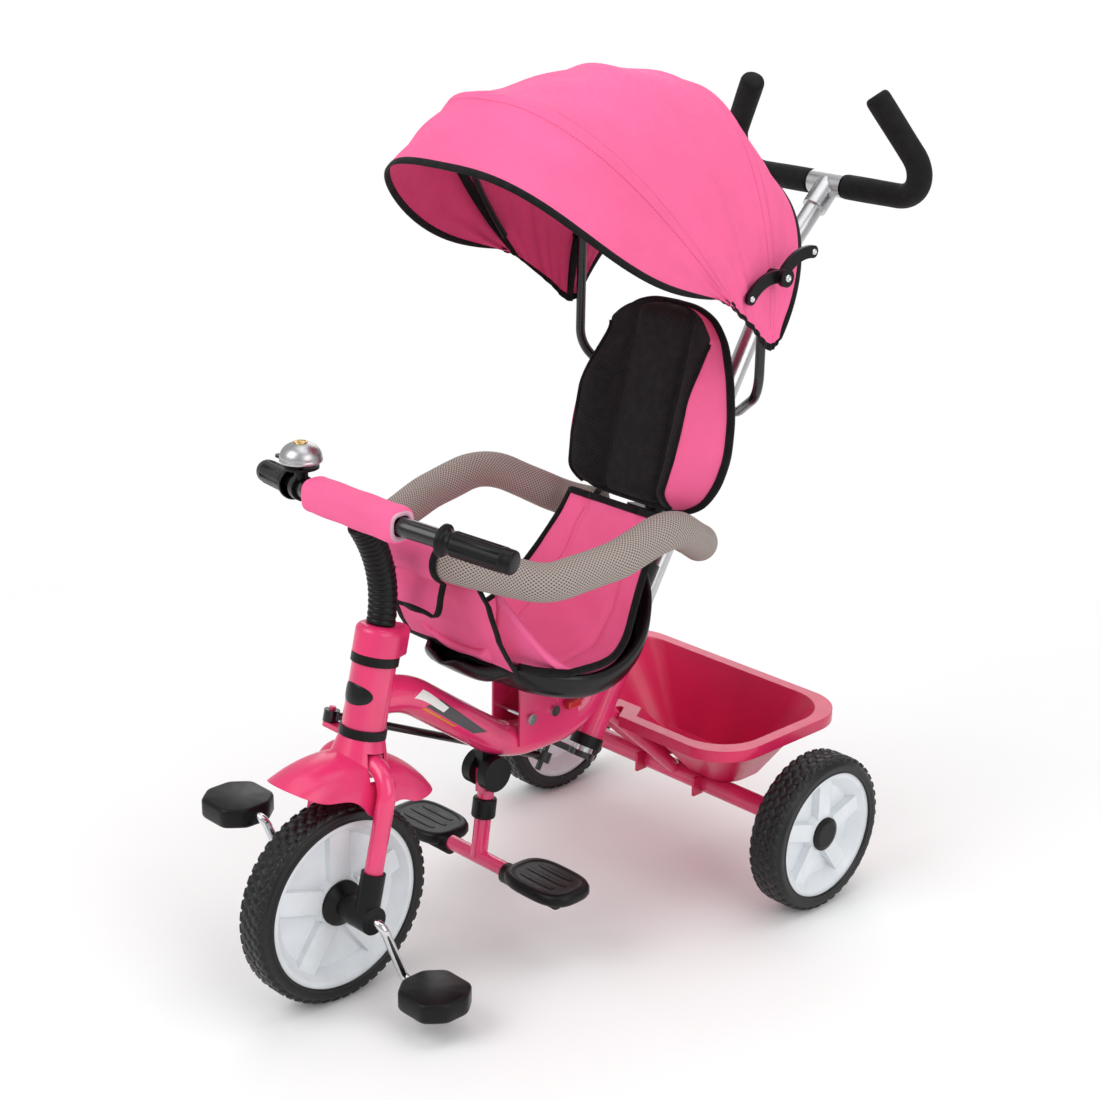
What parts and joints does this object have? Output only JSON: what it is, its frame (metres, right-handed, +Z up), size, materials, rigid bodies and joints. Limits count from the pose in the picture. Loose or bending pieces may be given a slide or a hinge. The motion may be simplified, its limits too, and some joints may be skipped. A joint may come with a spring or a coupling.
{
  "type": "children's tricycle",
  "caption": "Child's tricycle with parent push handle that steers the front wheel, tilting canopy, padded seat with foam safety ring, rear basket and folding footrest.",
  "frame": {"origin": "middle of the footprint of the overall box, on the floor", "axes": "+Z up, -Y forward (the way the tricycle rolls), +X the seated child's left"},
  "size_m": [0.524, 0.98, 1.0502],
  "materials": {
    "pink_paint": "gloss",
    "black_paint": "satin",
    "silver_tube": "satin",
    "steel": "satin",
    "chrome": "polished",
    "pink_plastic": "gloss",
    "basket_plastic": "gloss",
    "black_plastic": "satin",
    "gloss_black": "gloss",
    "white_plastic": "gloss",
    "red_plastic": "gloss",
    "tyre_foam": "matte",
    "black_foam": "matte",
    "pink_fabric": "matte",
    "mesh_fabric": "matte",
    "grey_foam": "matte",
    "aluminium_bell": "satin"
  },
  "bodies": {
    "frame": {"head_tube": "pink_paint", "main_tube": "pink_paint", "pole_socket": "pink_paint", "rear_stay": "pink_paint", "axle_tube": "pink_paint", "rear_axle": "steel", "head_bearings": "black_plastic", "socket_collar": "black_plastic", "socket_cap": "black_plastic", "seat_bracket": "pink_paint", "seat_bolts": "chrome", "seat_shell": "gloss_black", "seat_cushion": "pink_fabric", "crotch_panel": "pink_fabric", "post_collar": "black_plastic", "backrest_post": "black_paint", "backrest_board": "black_plastic", "backrest_pad": "mesh_fabric", "guard_tube": "steel", "guard_foam": "grey_foam", "guard_clamp": "black_plastic", "basket": "basket_plastic", "footrest_lug": "black_plastic", "footrest_cheeks": "black_plastic", "canopy_support": "black_paint"},
    "steering": {"fork": "pink_paint", "fork_ends": "black_plastic", "mudguard": "pink_plastic", "stem_hood": "pink_plastic", "handlebar": "black_paint", "bellows": "black_plastic", "handlebar_pad": "pink_fabric", "grips": "black_plastic", "bell_base": "black_plastic", "bell_dome": "aluminium_bell"},
    "front_wheel": {"front_tyre": "tyre_foam", "front_disc": "white_plastic", "front_hub": "black_plastic", "crank_axle": "chrome"},
    "left_pedal": {"pedal_left": "black_plastic"},
    "right_pedal": {"pedal_right": "black_plastic"},
    "left_rear_wheel": {"rear_tyre_left": "tyre_foam", "rear_disc_left": "white_plastic", "rear_cap_left": "black_plastic"},
    "right_rear_wheel": {"rear_tyre_right": "tyre_foam", "rear_disc_right": "white_plastic", "rear_cap_right": "black_plastic"},
    "footrest": {"footrest_post": "pink_paint", "footrest_ring": "black_plastic", "footplates": "black_plastic"},
    "push_handle": {"push_pole": "silver_tube", "push_tee": "black_plastic", "push_grips": "black_foam", "pole_lever": "black_paint"},
    "steering_link": {"tie_rod": "black_paint"},
    "canopy": {"canopy_fabric": "pink_fabric", "canopy_bows": "black_plastic", "canopy_links": "black_plastic"},
    "bell_thumb": {"bell_lever": "black_plastic"},
    "release_button": {"seat_button": "red_plastic"}
  },
  "joints": [
    {"name": "steering_turn", "type": "hinge", "parent": "frame", "child": "steering", "pos_m": [0, -0.3655, 0.1245], "axis": [0, 0.225, 0.9744], "range_deg": [-30, 30]},
    {"name": "front_wheel_spin", "type": "hinge", "parent": "steering", "child": "front_wheel", "pos_m": [0, -0.3655, 0.1245], "axis": [1, 0, 0], "continuous": true},
    {"name": "left_pedal_spin", "type": "hinge", "parent": "front_wheel", "child": "left_pedal", "pos_m": [0.143, -0.33504, 0.04515], "axis": [1, 0, 0], "continuous": true},
    {"name": "right_pedal_spin", "type": "hinge", "parent": "front_wheel", "child": "right_pedal", "pos_m": [-0.143, -0.39596, 0.20385], "axis": [1, 0, 0], "continuous": true},
    {"name": "left_rear_spin", "type": "hinge", "parent": "frame", "child": "left_rear_wheel", "pos_m": [0.237, 0.222, 0.103], "axis": [1, 0, 0], "continuous": true},
    {"name": "right_rear_spin", "type": "hinge", "parent": "frame", "child": "right_rear_wheel", "pos_m": [-0.237, 0.222, 0.103], "axis": [1, 0, 0], "continuous": true},
    {"name": "footrest_fold", "type": "hinge", "parent": "frame", "child": "footrest", "pos_m": [0, -0.127, 0.214], "axis": [1, 0, 0], "range_deg": [0, 40]},
    {"name": "push_handle_turn", "type": "hinge", "parent": "frame", "child": "push_handle", "pos_m": [0, 0.05, 0.207], "axis": [0, 0.506, 0.8625], "range_deg": [-30, 30]},
    {"name": "link_swing", "type": "hinge", "parent": "steering", "child": "steering_link", "pos_m": [-0.058, -0.3208, 0.31811], "axis": [0, 0.225, 0.9744], "range_deg": [-30, 30]},
    {"name": "canopy_tilt", "type": "hinge", "parent": "frame", "child": "canopy", "pos_m": [0, 0.172, 0.815], "axis": [1, 0, 0], "range_deg": [-25, 20]},
    {"name": "bell_press", "type": "hinge", "parent": "steering", "child": "bell_thumb", "pos_m": [-0.12002, -0.31692, 0.6157], "axis": [0, 0, 1], "range_deg": [-25, 0], "stiffness_Nm_per_rad": 0.02},
    {"name": "button_press", "type": "slide", "parent": "frame", "child": "release_button", "axis": [-1, 0, 0], "range_m": [0, 0.003], "stiffness_N_per_m": 400}
  ],
  "couplings": [
    {"joint": "push_handle_turn", "follows": "steering_turn", "ratio": 1},
    {"joint": "link_swing", "follows": "steering_turn", "ratio": -1}
  ]
}
